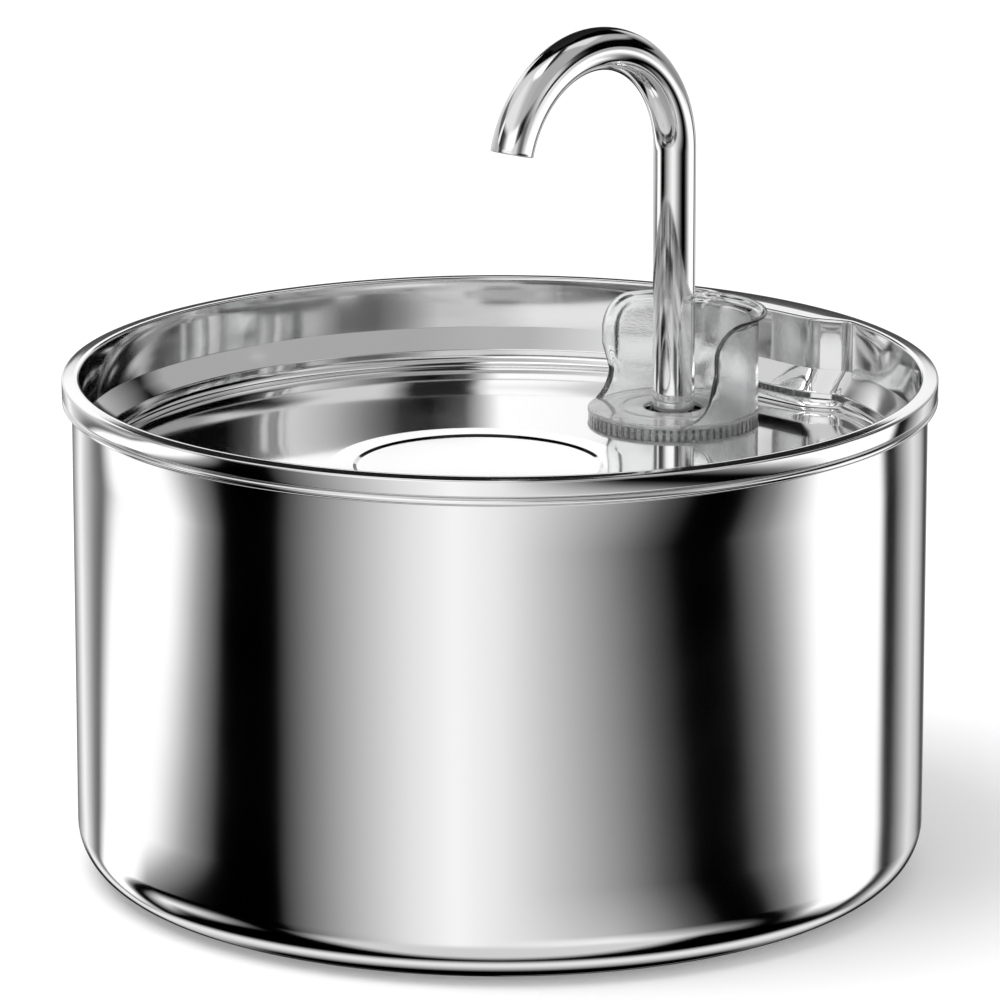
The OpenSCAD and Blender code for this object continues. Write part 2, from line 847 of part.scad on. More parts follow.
module flow_slider() color([0.85, 0.55, 0.15]) at_pump()
    translate([face + slider_gap, 0, axis_z]) {
        translate([0, -eye_r - slider_w, -slider_h / 2])
            cube([slider_t, slider_w, slider_h]);
        translate([0, -housing_w / 2 - handle_l, -handle_w / 2])
            cube([slider_t, housing_w / 2 + handle_l - eye_r - past, handle_w]);
    }

module prefilter_foam() color([0.16, 0.17, 0.18]) at_pump() {
    inset = cage_wall + clear;
    slab_x(foam_from, cage_end - inset, housing_w - 2 * inset, cage_bottom + inset,
        housing_top - inset, corner - inset);
}

module prefilter_cage() color([0.13, 0.13, 0.14]) at_pump() {
    slot_bottom = cage_bottom + cage_margin;
    slot_h = housing_top - cage_margin - slot_bottom;
    difference() {
        slab_x(face, cage_end, housing_w, cage_bottom, housing_top, corner);
        slab_x(face - past, cage_end - cage_wall, housing_w - 2 * cage_wall,
            cage_bottom + cage_wall, housing_top - cage_wall, corner - cage_wall);
        for (i = [-3 : 3])
            translate([cage_end - cage_wall - past, i * cage_pitch - cage_slot / 2, slot_bottom])
                cube([cage_wall + 2 * past, cage_slot, slot_h]);
        for (x = [face + cage_margin : cage_pitch : cage_end - cage_margin])
            translate([x, -housing_w, slot_bottom])
                cube([cage_slot, 2 * housing_w, slot_h]);
        translate([face - past, -housing_w / 2 - past, axis_z - handle_w / 2 - clear])
            cube([slider_gap + slider_t + clear + past, cage_wall + 2 * past, handle_w + 2 * clear]);
    }
}

outer_bowl();
drinking_tray();
splash_guard();
faucet_tube();
filter_basket();
cartridge_shell();
cartridge_cap();
filter_fleece();
carbon_bed();
filter_sponge();
tube_adapter();
adapter_seal();
riser_hose();
pump_housing();
pump_cover();
cover_seal();
stator_core();
coil_bobbin();
coil_winding();
potting_plug();
cable_gland();
suction_cups();
motor_shaft();
shaft_bushes();
rotor_magnet();
impeller();
flow_slider();
prefilter_foam();
prefilter_cage();
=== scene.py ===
"""Looks of a round stainless steel pet water fountain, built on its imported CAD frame.

The bowl, the drinking tray, the faucet and the splash guard get new surfaces worked out with numpy.
The pieces of the filter and the pump keep the CAD meshes and get materials. Metres, +Z up.
"""

import math

import bmesh
import bpy
import numpy as np
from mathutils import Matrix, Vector
from mathutils.geometry import delaunay_2d_cdt


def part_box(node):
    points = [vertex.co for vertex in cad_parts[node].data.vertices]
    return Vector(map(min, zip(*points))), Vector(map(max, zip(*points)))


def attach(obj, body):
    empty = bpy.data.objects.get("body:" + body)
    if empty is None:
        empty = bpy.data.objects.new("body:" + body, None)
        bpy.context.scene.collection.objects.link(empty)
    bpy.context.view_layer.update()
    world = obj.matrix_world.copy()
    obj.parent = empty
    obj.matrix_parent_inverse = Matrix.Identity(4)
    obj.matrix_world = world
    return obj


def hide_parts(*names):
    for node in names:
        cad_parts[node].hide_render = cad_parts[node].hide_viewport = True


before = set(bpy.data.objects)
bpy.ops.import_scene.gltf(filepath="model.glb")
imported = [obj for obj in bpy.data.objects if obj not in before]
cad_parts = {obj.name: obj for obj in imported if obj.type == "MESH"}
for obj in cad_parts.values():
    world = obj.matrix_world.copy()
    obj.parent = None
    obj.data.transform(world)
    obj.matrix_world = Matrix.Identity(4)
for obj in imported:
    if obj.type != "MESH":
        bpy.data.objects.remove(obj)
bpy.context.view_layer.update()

MM = 0.001
TAU = 2 * math.pi

# ---------------------------------------------------------------- sizes, in millimetres

bowl_box, tray_box, tube_box = (
    [np.array(corner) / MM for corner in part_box(node)]
    for node in ("outer_bowl", "drinking_tray", "faucet_tube")
)

rim_r = bowl_box[1][0]  # outer radius of the rolled rim and of the tray's lip
bowl_h = bowl_box[1][2]
rim_out = 2.3  # how far the rolled rim stands out from the bowl's side
bowl_r = rim_r - rim_out
bowl_sheet = 0.7
bowl_corner = 11.9
rim_bead = 1.0  # radius of the rolled rim's roll
panel_r, panel_rise, panel_edge = 80.0, 1.2, 1.5  # the flat panel pressed up in the underside

tray_top = tray_box[1][2]
tray_sheet = 0.6
tray_gap = 0.4  # between the tray's wall and the bowl's
wall_r = bowl_r - bowl_sheet - tray_gap - tray_sheet  # inside of the tray's wall
floor_depth, bend_depth = 20.8, 12.2  # from the lip down to the floor and to the step's upper crease
floor_z, bend_z = tray_top - floor_depth, tray_top - bend_depth
step_in, step_h = 4.0, 4.8
floor_fillet = 2.5
wall_draft = 0.14  # how far the wall leans out over its height, so that the tray leaves its die
lip_crown = 0.2  # how far the lip falls from its inner edge to its rim
lip_edge = 0.6  # radius of the lip's inner edge and of its hem
lip_from = 1.5 * lip_edge  # where the lip's section takes over from the wall's, out from the wall
flat_lip = 1.4  # width of the lip's outer part, which keeps its circle at the channel

turn = math.radians(45)  # direction of the faucet and the cord channel
ahead = np.array([math.cos(turn), math.sin(turn)])
faucet_out, disc_back = 58.0, 7.1  # from the bowl's axis toward the faucet and away from it
faucet_at = faucet_out * ahead
disc_at = -disc_back * ahead
disc_r, disc_rim, disc_drop = 28.3, 34.3, 0.6
drain_r = 18.0

channel_face, channel_half, channel_slant = 90.0, 14.7, math.radians(27)
channel_end, channel_fade = math.radians(34), math.radians(8)  # where the channel has blended out
channel_reach = math.radians(40)  # the outline's formula holds this far to either side
channel_bend, wall_blend = 0.7, 0.9  # widths of the curves between face and ends, and into the wall

tube_r, tube_wall = 5.0, 0.6
bend_rise, bend_r, bend_sweep = 43.7, 27.5, math.radians(166)
bend_start = tray_top + bend_rise

comb_h, deck_t, deck_r, deck_hole = 1.4, 1.0, 20.3, 7.0
comb_top = floor_z + comb_h
deck_top = comb_top + deck_t
bead_r, bead_foot, bead_top, bead_h = 12.3, 0.6, 0.3, 0.3  # the ring on the deck, with half widths
shield_r, shield_wall, shield_h = 20.1, 1.8, 23.4
shield_front, shield_corner, shield_foot = 4.3, 8.0, 7.0
shield_low, shield_top = comb_top + 0.2, deck_top + shield_h
flare, flare_depth, flare_rise = 2.3, 2.4, 6.0  # the edge's turn outwards, its width and its start
grain_from, grain_blend = 2.5, 1.5  # in from the edge, the bare strip and the width of the change
collar_r, collar_wall, collar_l = 17.6, 1.2, 10.0
windows_n, window_w, window_h = 6, 12.0, 4.0  # the openings in the collar, under the deck
teeth_n, slot_w = 72, 0.8
tooth_in, tooth_out = drain_r + 0.6, deck_r - 0.15
post_sunk, tooth_sunk = 0.1, 0.05  # how far the posts and the teeth reach up into the deck
guard_turn = turn - math.radians(7.5)


# ---------------------------------------------------------------- mesh tools


def rounded(corners, steps):
    """A path with round corners. Each corner is (x, z, radius): the arc touches both sides at
    radius / tan(half the corner's opening) from the corner, and its points lie on that circle."""
    nearly_straight = 0.9999
    pts = np.array([c[:2] for c in corners], float)
    out = [pts[:1]]
    for i in range(1, len(pts) - 1):
        radius = corners[i][2]
        a, b = pts[i - 1] - pts[i], pts[i + 1] - pts[i]
        a, b = a / np.linalg.norm(a), b / np.linalg.norm(b)
        cos_open = np.clip(a @ b, -1, 1)
        if radius <= 0 or abs(cos_open) > nearly_straight:
            out.append(pts[i : i + 1])
            continue
        half_open = math.acos(cos_open) / 2
        middle = (a + b) / np.linalg.norm(a + b)
        centre = pts[i] + middle * radius / math.sin(half_open)
        reach = radius / math.tan(half_open)
        start, end = pts[i] + a * reach - centre, pts[i] + b * reach - centre
        sweep = math.pi - 2 * half_open
        t = np.linspace(0, 1, steps)[:, None]
        arc = (np.sin((1 - t) * sweep) * start + np.sin(t * sweep) * end) / math.sin(sweep)
        out.append(centre + arc)
    out.append(pts[-1:])
    return np.vstack(out)


def refine(path, longest):
    """The same path with its long straights cut into pieces no longer than a length."""
    out = [path[:1]]
    for a, b in zip(path[:-1], path[1:]):
        n = max(1, math.ceil(np.linalg.norm(b - a) / longest))
        out.append(a + (b - a) * np.linspace(0, 1, n + 1)[1:, None])
    return np.vstack(out)


def grid_part(points, wrap_u=False, wrap_v=False):
    """Vertices and quads of a grid of points [u, v, xyz], joined to its start where it wraps."""
    nu, nv = points.shape[:2]
    iu = np.arange(nu if wrap_u else nu - 1)
    iv = np.arange(nv if wrap_v else nv - 1)
    u, v = (g.ravel() for g in np.meshgrid(iu, iv, indexing="ij"))
    un, vn = (u + 1) % nu, (v + 1) % nv
    quads = np.stack([u * nv + v, un * nv + v, un * nv + vn, u * nv + vn], 1)
    return points.reshape(-1, 3), quads.tolist()


def round_axis(r, angle, z, centre=(0.0, 0.0)):
    """Points round an upright axis: x = r * cos(angle) and y = r * sin(angle) from the axis's
    place, at height z. The three are numbers or arrays that broadcast together."""
    x = centre[0] + r * np.cos(angle)
    y = centre[1] + r * np.sin(angle)
    return np.stack(np.broadcast_arrays(x, y, z), -1)


def directions(steps):
    """Evenly spread angles, once round, without the last, which is the first again."""
    return np.arange(steps) * TAU / steps


def turned(profile, steps, centre=(0.0, 0.0)):
    """A surface of revolution: a profile of (radius, height) carried round an upright axis."""
    points = round_axis(profile[:, 0], directions(steps)[:, None], profile[:, 1], centre)
    return grid_part(points, wrap_u=True)


def make_piece(name, parts, material, body, sharp=35, stands_for=(), flip=None):
    """One mesh from several parts in millimetres: joined, welded, with outward normals and with
    edges sharper than an angle in degrees kept crisp. flip(mesh) tells if its normals came out
    reversed, where the piece is open and outward has no meaning."""
    weld, sliver = 2e-6, 1e-7  # metres
    verts, faces, base = [], [], 0
    for points, quads in parts:
        verts.append(points)
        faces += [[base + i for i in q] for q in quads]
        base += len(points)
    mesh = bpy.data.meshes.new(name)
    mesh.from_pydata((np.vstack(verts) * MM).tolist(), [], faces)
    bm = bmesh.new()
    bm.from_mesh(mesh)
    bmesh.ops.remove_doubles(bm, verts=bm.verts, dist=weld)
    bmesh.ops.dissolve_degenerate(bm, edges=bm.edges, dist=sliver)
    bmesh.ops.recalc_face_normals(bm, faces=bm.faces)
    if flip is not None and flip(bm):
        bmesh.ops.reverse_faces(bm, faces=bm.faces)
    limit = math.radians(sharp)
    for face in bm.faces:
        face.smooth = True
    for edge in bm.edges:
        edge.smooth = len(edge.link_faces) == 2 and edge.calc_face_angle(0) < limit
    bm.to_mesh(mesh)
    bm.free()
    mesh.materials.append(material)
    piece = bpy.data.objects.new(name, mesh)
    bpy.context.scene.collection.objects.link(piece)
    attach(piece, body)
    if stands_for:
        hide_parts(*stands_for)
    return piece


# ---------------------------------------------------------------- material tools


def linear(hex_colour):
    """An sRGB hex colour as linear RGBA: a straight line near black and a power of 2.4 above."""
    srgb = np.array([int(hex_colour[i : i + 2], 16) for i in (1, 3, 5)]) / 255
    rgb = np.where(srgb <= 0.04045, srgb / 12.92, ((srgb + 0.055) / 1.055) ** 2.4)
    return (*rgb.tolist(), 1.0)


def add(tree, kind, settings=None, **inputs):
    """Adds a node. settings are its properties; inputs are its sockets, by name or number with a
    leading n, each a value or the output socket to link."""
    node = tree.nodes.new(kind)
    for key, value in (settings or {}).items():
        setattr(node, key, value)
    for key, value in inputs.items():
        socket = node.inputs[int(key[1:])] if key[1:].isdigit() else node.inputs[key.replace("_", " ")]
        if isinstance(value, bpy.types.NodeSocket):
            tree.links.new(value, socket)
        else:
            socket.default_value = value
    return node


def new_material(name, **sockets):
    """A material with one Principled shader and its plain sockets set."""
    material = bpy.data.materials.new(name)
    material.use_nodes = True
    shader = material.node_tree.nodes["Principled BSDF"]
    for key, value in sockets.items():
        shader.inputs[key.replace("_", " ")].default_value = value
    material.diffuse_color = shader.inputs["Base Color"].default_value
    return material, material.node_tree, shader


# ---------------------------------------------------------------- materials


def polished_steel(name, roughness, haze_mm, wave_mm):
    """304 stainless steel, buffed to a mirror on a cotton wheel: it shows clear reflections with
    a faint haze in soft cloudy patches, and the sheet's slight waves bend them a little."""
    wave_length_mm = 30
    hazy, clean = 1.25, 0.8  # the roughness in a patch and beside it, as shares of the mean
    material, tree, shader = new_material(
        name, Base_Color=linear("#E7E7E7"), Metallic=1.0, Roughness=roughness
    )
    place = add(tree, "ShaderNodeTexCoord").outputs["Object"]
    haze = add(tree, "ShaderNodeTexNoise", Vector=place, Scale=1 / (haze_mm * MM), Detail=4.0)
    span = add(
        tree,
        "ShaderNodeMapRange",
        n0=haze.outputs["Fac"],
        n1=0.35,
        n2=0.65,
        n3=roughness * clean,
        n4=roughness * hazy,
    )
    tree.links.new(span.outputs["Result"], shader.inputs["Roughness"])
    waves = add(tree, "ShaderNodeTexNoise", Vector=place, Scale=1 / (wave_length_mm * MM), Detail=1.0)
    bump = add(tree, "ShaderNodeBump", Height=waves.outputs["Fac"], Distance=wave_mm * MM, Strength=1.0)
    tree.links.new(bump.outputs["Normal"], shader.inputs["Normal"])
    return material


def clear_polycarbonate():
    """Clear moulded polycarbonate: glossy and water clear, with dark and bright edges. Where the
    mould was spark eroded, which the attribute "grain" gives, a sparkle grain scatters the view."""
    grain_mm, height_mm = 0.3, 0.04
    material, tree, shader = new_material(
        "clear_polycarbonate",
        Base_Color=linear("#FDFEFE"),
        Roughness=0.03,
        IOR=1.585,
        Transmission_Weight=1.0,
    )
    place = add(tree, "ShaderNodeTexCoord").outputs["Object"]
    noise = add(tree, "ShaderNodeTexNoise", Vector=place, Scale=1 / (grain_mm * MM), Detail=1.0)
    where = add(tree, "ShaderNodeAttribute", {"attribute_name": "grain"})
    height = add(
        tree,
        "ShaderNodeMath",
        {"operation": "MULTIPLY"},
        n0=noise.outputs["Fac"],
        n1=where.outputs["Fac"],
    )
    bump = add(tree, "ShaderNodeBump", Height=height.outputs[0], Distance=height_mm * MM, Strength=1.0)
    tree.links.new(bump.outputs["Normal"], shader.inputs["Normal"])
    return material


def moulded(name, colour, tint, grain_mm, height_mm, rough, **sockets):
    """A material with a fine grain of a real size: noise that raises the surface by a real height
    and takes it from one colour to another and from one roughness to another."""
    first, second = linear(colour), linear(tint)
    material, tree, shader = new_material(name, Base_Color=first, **sockets)
    place = add(tree, "ShaderNodeTexCoord").outputs["Object"]
    noise = add(tree, "ShaderNodeTexNoise", Vector=place, Scale=1 / (grain_mm * MM), Detail=3.0)
    grain = noise.outputs["Fac"]
    mix = add(tree, "ShaderNodeMix", {"data_type": "RGBA"}, Factor=grain, n6=first, n7=second)
    span = add(tree, "ShaderNodeMapRange", n0=grain, n1=0.3, n2=0.7, n3=rough[0], n4=rough[1])
    bump = add(tree, "ShaderNodeBump", Height=grain, Distance=height_mm * MM, Strength=1.0)
    tree.links.new(mix.outputs["Result"], shader.inputs["Base Color"])
    tree.links.new(span.outputs["Result"], shader.inputs["Roughness"])
    tree.links.new(bump.outputs["Normal"], shader.inputs["Normal"])
    return material


steel_bowl = polished_steel("polished_stainless_steel_bowl", 0.085, 60, 0.02)
steel_tray = polished_steel("polished_stainless_steel_tray", 0.065, 45, 0.015)
steel_tube = polished_steel("polished_stainless_steel_tube", 0.07, 20, 0.0)
clear_plastic = clear_polycarbonate()

# Each finish has its two colours, the size and height of its grain in millimetres, its two
# roughness values and its other sockets.
finishes = {
    # moulded polycarbonate with a satin face: see-through and slightly milky
    "frosted_polycarbonate": (
        ("#F8F9F9", "#FDFDFD", 0.8, 0.004, (0.05, 0.12)),
        {"Transmission_Weight": 0.8, "IOR": 1.585},
    ),
    # natural polypropylene: milky and slightly waxy
    "frosted_polypropylene": (
        ("#E8ECEE", "#DFE5E8", 1.2, 0.01, (0.35, 0.5)),
        {"Transmission_Weight": 0.35, "IOR": 1.49},
    ),
    # moulded ABS: satin, hard and even
    "white_abs": (("#ECEDEE", "#E4E6E8", 1.0, 0.008, (0.3, 0.42)), {"IOR": 1.54}),
    "black_abs": (("#1B1B1D", "#222225", 1.0, 0.01, (0.35, 0.5)), {"IOR": 1.54}),
    # moulded acetal: slippery, with a waxy sheen
    "orange_acetal": (("#D97A1E", "#D06F18", 0.8, 0.006, (0.25, 0.35)), {"IOR": 1.48}),
    # moulded silicone: soft, with a low sheen, and cloudy where it is clear
    "black_silicone": (("#161617", "#1D1D1E", 1.5, 0.012, (0.5, 0.65)), {"IOR": 1.43}),
    "red_silicone": (("#A03A2B", "#963425", 1.5, 0.012, (0.5, 0.65)), {"IOR": 1.43}),
    "clear_silicone": (
        ("#DDE3E6", "#D5DDE1", 2.0, 0.01, (0.25, 0.35)),
        {"Transmission_Weight": 0.7, "IOR": 1.43},
    ),
    # polyester fleece: matt, with felted fibres about 0.4 mm apart
    "polyester_fleece": (("#EFEFEA", "#D9D9D2", 0.4, 0.15, (0.85, 0.95)), {}),
    # granulated activated carbon: black 1.5 mm grains with glinting faces
    "activated_carbon": (("#121213", "#2A2A2C", 1.5, 0.6, (0.4, 0.8)), {}),
    # reticulated polyurethane: matt, speckled by open cells of about a millimetre
    "blue_sponge": (("#54749A", "#35506F", 0.8, 0.4, (0.85, 0.95)), {}),
    "grey_foam": (("#3A3C3F", "#1C1D1F", 1.0, 0.5, (0.85, 0.95)), {}),
    # stamped silicon steel: blue-grey scale with a dull sheen
    "silicon_steel": (("#8C8F93", "#7E8186", 0.5, 0.01, (0.35, 0.5)), {"Metallic": 1.0}),
    # natural nylon: ivory and satin
    "natural_nylon": (("#E6E2D3", "#DED9C8", 1.0, 0.01, (0.35, 0.45)), {"IOR": 1.53}),
    # enamelled copper wire: glossy orange brown, rippled by its fine turns
    "enamelled_copper": (("#B5622C", "#A1521F", 0.3, 0.05, (0.2, 0.35)), {"Metallic": 1.0}),
    # cast epoxy resin: glossy black
    "epoxy_resin": (("#0E0E0F", "#141415", 3.0, 0.02, (0.08, 0.2)), {"IOR": 1.55}),
    # ground and lapped alumina ceramic: ivory white with a soft gloss
    "alumina_ceramic": (("#F0EEE6", "#E8E5DA", 0.5, 0.002, (0.15, 0.25)), {"IOR": 1.76}),
    # sintered ferrite: dark grey and matt
    "sintered_ferrite": (("#3B3B3F", "#46464A", 0.6, 0.01, (0.5, 0.65)), {}),
}
finished = {name: moulded(name, *grain, **sockets) for name, (grain, sockets) in finishes.items()}
frosted_plastic = finished["frosted_polycarbonate"]

# CAD node: its finish and its slot
node_looks = {
    "filter_basket": ("frosted_polypropylene", "frosted_plastic"),
    "cartridge_shell": ("white_abs", "white_plastic"),
    "cartridge_cap": ("white_abs", "white_plastic"),
    "filter_fleece": ("polyester_fleece", "fleece"),
    "carbon_bed": ("activated_carbon", "carbon"),
    "filter_sponge": ("blue_sponge", "blue_sponge"),
    "tube_adapter": ("clear_silicone", "clear_silicone"),
    "adapter_seal": ("red_silicone", "red_silicone"),
    "riser_hose": ("clear_silicone", "clear_silicone"),
    "pump_housing": ("black_abs", "black_plastic"),
    "pump_cover": ("black_abs", "black_plastic"),
    "cover_seal": ("red_silicone", "red_silicone"),
    "stator_core": ("silicon_steel", "core_steel"),
    "coil_bobbin": ("natural_nylon", "nylon"),
    "coil_winding": ("enamelled_copper", "copper_wire"),
    "potting_plug": ("epoxy_resin", "resin"),
    "cable_gland": ("black_silicone", "black_silicone"),
    "suction_cups": ("clear_silicone", "clear_silicone"),
    "motor_shaft": ("alumina_ceramic", "ceramic"),
    "shaft_bushes": ("black_silicone", "black_silicone"),
    "rotor_magnet": ("sintered_ferrite", "ferrite"),
    "impeller": ("white_abs", "white_plastic"),
    "flow_slider": ("orange_acetal", "orange_plastic"),
    "prefilter_foam": ("grey_foam", "grey_foam"),
    "prefilter_cage": ("black_abs", "black_plastic"),
}
for node_name, (look, slot_name) in node_looks.items():
    cad_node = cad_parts[node_name]
    cad_node.data.materials.clear()
    cad_node.data.materials.append(finished[look])


# ---------------------------------------------------------------- bowl


def build_bowl():
    """The bowl's whole section, from the middle of the underside round the rolled rim to the
    middle of the floor inside, turned round the axis."""
    inner = bowl_r - bowl_sheet
    panel_foot = panel_r + panel_edge
    panel_in = panel_rise + bowl_sheet
    rim_low = bowl_h - 2 * rim_bead
    roll = 0.98 * rim_bead
    rim_corner, rim_mouth = 0.5, 0.6
    section = rounded(
        [
            (0, panel_rise, 0),
            (panel_r, panel_rise, panel_edge),
            (panel_foot, 0, panel_edge),
            (bowl_r, 0, bowl_corner),
            (bowl_r, rim_low, rim_corner),
            (rim_r, rim_low, roll),
            (rim_r, bowl_h, roll),
            (inner, bowl_h, rim_mouth),
            (inner, bowl_sheet, bowl_corner - bowl_sheet),
            (panel_foot, bowl_sheet, panel_edge),
            (panel_r, panel_in, panel_edge),
            (0, panel_in, 0),
        ],
        steps=14,
    )
    longest, steps_round = 12, 384
    make_piece(
        "bowl_skin",
        [turned(refine(section, longest), steps_round)],
        steel_bowl,
        "base",
        stands_for=("outer_bowl",),
    )


# ---------------------------------------------------------------- drinking tray


def soft_min(a, b, width):
    """The smaller of two values, with a hyperbola of a width where they meet."""
    return (a + b - np.sqrt((a - b) ** 2 + width**2)) / 2


def soft_max(a, b, width):
    """The larger of two values, with a hyperbola of a width where they meet."""
    return -soft_min(-a, -b, width)


def smooth_share(t):
    """A share that goes from 0 to 1 with t, level at both ends: 3 t squared less 2 t cubed."""
    t = np.clip(t, 0, 1)
    return t * t * (3 - 2 * t)


def wall_radius(angle, inset):
    """Distance from the axis to the tray's wall in a direction, for a wall moved in by an inset.
    It is the circle of the wall, or the cord channel's outline where that is nearer: a flat face
    at right angles to the channel's direction, radius = face / cos(angle), between two slanting
    ends, radius = (face - half * slope) / (cos(angle) - slope * abs(sin(angle)))."""
    off = np.abs((angle - turn + math.pi) % TAU - math.pi)
    face = channel_face - inset
    half = channel_half + inset * math.tan(channel_slant / 2)
    slope = math.tan(channel_slant)
    near = np.clip(off, 0, channel_reach)
    flat = face / np.cos(near)
    slant = (face - half * slope) / (np.cos(near) - slope * np.sin(near))
    outline = soft_max(flat, slant, channel_bend)
    circle = wall_r - inset
    blended = soft_min(circle, outline, wall_blend)
    share = smooth_share((channel_end - off) / channel_fade)
    return circle + (blended - circle) * share


def tray_wall(angle):
    """Points of the wall, from the floor to the lip's inner edge: each direction has the section
    as (inset, height), and wall_radius turns the inset into a distance from the axis."""
    crease, wall_bend, longest = 0.7, 0.25, 3.0
    foot = step_in + floor_fillet + 2.0
    section = rounded(
        [
            (-foot, floor_z, 0),
            (-step_in, floor_z, floor_fillet),
            (-step_in, bend_z - step_h, crease),
            (-wall_draft, bend_z, wall_bend),
            (0, tray_top, lip_edge),
            (lip_from, tray_top, 0),
        ],
        steps=9,
    )
    section = refine(section, longest)
    radius = np.stack([wall_radius(angle, inset) for inset in -section[:, 0]], 1)
    return round_axis(radius, angle[:, None], section[:, 1]), radius


def tray_lip(angle, start):
    """Points of the lip, from where the wall ends round its hem and back under it. Its flat part
    follows the wall into the cord channel, by a share that falls to nothing at its outer part."""
    crown_at, crown_round, hem_back, longest = 2.8, 1.2, 1.4, 2.0
    section = rounded(
        [
            (wall_r + lip_from, tray_top, 0),
            (rim_r - crown_at, tray_top, crown_round),
            (rim_r, tray_top - lip_crown, lip_edge),
            (rim_r, bowl_h, lip_edge),
            (wall_r + hem_back, bowl_h, 0),
        ],
        steps=8,
    )
    section = refine(section, longest)[1:]
    shift = start - (wall_r + lip_from)
    fixed_r = rim_r - flat_lip
    on_top = section[:, 1] > tray_top - lip_crown
    share = np.clip((fixed_r - section[:, 0]) / (fixed_r - wall_r), 0, 1) * on_top
    radius = section[:, 0] + shift * share
    return round_axis(radius, angle[:, None], section[:, 1])


def tray_floor(edge, holes):
    """The level floor: triangles that fill an edge up to round holes in it, each hole given as
    (steps, radius, centre)."""
    rims = [edge]
    for steps, r, centre in holes:
        rims.append(round_axis(r, directions(steps), 0.0, centre)[:, :2])
    loops, base = [], 0
    for rim in rims:
        loops += [(base + i, base + (i + 1) % len(rim)) for i in range(len(rim))]
        base += len(rim)
    inside_edges, tolerance = 1, 1e-6
    made = delaunay_2d_cdt([Vector(p) for p in np.vstack(rims)], loops, [], inside_edges, tolerance)
    corners, triangles = np.array([list(v) for v in made[0]]), np.array([list(f) for f in made[2]])
    middles = corners[triangles].mean(1)
    clear = np.ones(len(middles), bool)
    for _, r, centre in holes:
        clear &= np.linalg.norm(middles - centre, axis=1) > r
    return np.column_stack([corners, np.full(len(corners), floor_z)]), triangles[clear].tolist()


def build_tray():
    """The tray's upper skin: the wall and lip on a grid of direction by place on the section, the
    landing disc turned round its own axis, and the flat floor between them with the drain hole.
    A Solidify modifier gives it the sheet's thickness."""
    wall_steps, disc_steps, drain_steps = 480, 192, 144
    angle = directions(wall_steps)
    wall, radius = tray_wall(angle)
    lip = tray_lip(angle, radius[:, -1:])
    walls = grid_part(np.concatenate([wall, lip], 1), wrap_u=True)

    # landing disc: level inside disc_r, a small step up, and a gentle slope out to disc_rim
    outer = disc_rim + 1.5
    border = 0.18  # how far the slope lies below the floor, just outside the step
    disc = rounded(
        [
            (0, floor_z - disc_drop, 0),
            (disc_r - 0.2, floor_z - disc_drop, 0.7),
            (disc_r + 0.6, floor_z - border, 0.5),
            (disc_rim, floor_z, 4.0),
            (outer, floor_z, 0),
        ],
        steps=7,
    )
    landing = turned(disc, disc_steps, disc_at)
    holes = [(disc_steps, outer, disc_at), (drain_steps, drain_r, faucet_at)]
    level = tray_floor(wall[:, 0, :2], holes)

    def floor_looks_down(bm):
        """True where the normals came out reversed: the disc's middle has to face up."""
        middle = min(bm.faces, key=lambda f: (f.calc_center_median().xy - Vector(disc_at * MM)).length)
        return middle.normal.z < 0

    tray = make_piece(
        "tray_skin",
        [walls, landing, level],
        steel_tray,
        "tray",
        sharp=40,
        stands_for=("drinking_tray",),
        flip=floor_looks_down,
    )
    sheet = tray.modifiers.new("sheet", "SOLIDIFY")
    sheet.thickness = tray_sheet * MM
    sheet.offset = -1


# ---------------------------------------------------------------- faucet


def build_faucet():
    """A tube along a straight and an arc. At each point of the path the section is a circle in
    the plane of the path's normal and the level direction across it; the inner wall runs back."""
    arc_steps, straight_steps, round_steps, edge_steps = 90, 14, 64, 7
    low = tube_box[0][2]
    t = np.linspace(0, bend_sweep, arc_steps)
    straight = np.linspace(low, bend_start, straight_steps)[:-1]
    along = np.concatenate([np.zeros(len(straight)), bend_r * (1 - np.cos(t))])
    height = np.concatenate([straight, bend_start + bend_r * np.sin(t)])
    lean = np.concatenate([np.zeros(len(straight)), t])
    toward = -ahead
    across = np.array([-toward[1], toward[0]])

    def ring(i, r, slide=0.0):
        """The circle of radius r round point i of the path, moved along the path by a slide."""
        a = directions(round_steps)
        out = np.cos(a) * r
        x = along[i] - out * math.cos(lean[i]) + slide * math.sin(lean[i])
        z = height[i] + out * math.sin(lean[i]) + slide * math.cos(lean[i])
        side = np.sin(a) * r
        flat = faucet_at + np.outer(x, toward) + np.outer(side, across)
        return np.column_stack([flat, z])

    first, last = 0, len(along) - 1
    inner = tube_r - tube_wall
    edge = tube_wall / 2
    middle = tube_r - edge
    rings = [ring(first, tube_r, edge)]
    rings += [ring(i, tube_r) for i in range(1, last)]
    rings += [ring(last, tube_r, -edge)]
    # the round edge of the open end, the inner wall back down, and the round edge of the foot
    turns = np.linspace(0, math.pi, edge_steps)[1:-1]
    rings += [ring(last, middle + edge * math.cos(q), edge * math.sin(q) - edge) for q in turns]
    rings += [ring(last, inner, -edge)]
    rings += [ring(i, inner) for i in range(last - 1, 0, -1)]
    rings += [ring(first, inner, edge)]
    rings += [ring(first, middle - edge * math.cos(q), edge - edge * math.sin(q)) for q in turns]
    make_piece(
        "faucet_skin",
        [grid_part(np.stack(rings), wrap_u=True, wrap_v=True)],
        steel_tube,
        "faucet",
        stands_for=("faucet_tube",),
    )


# ---------------------------------------------------------------- splash guard


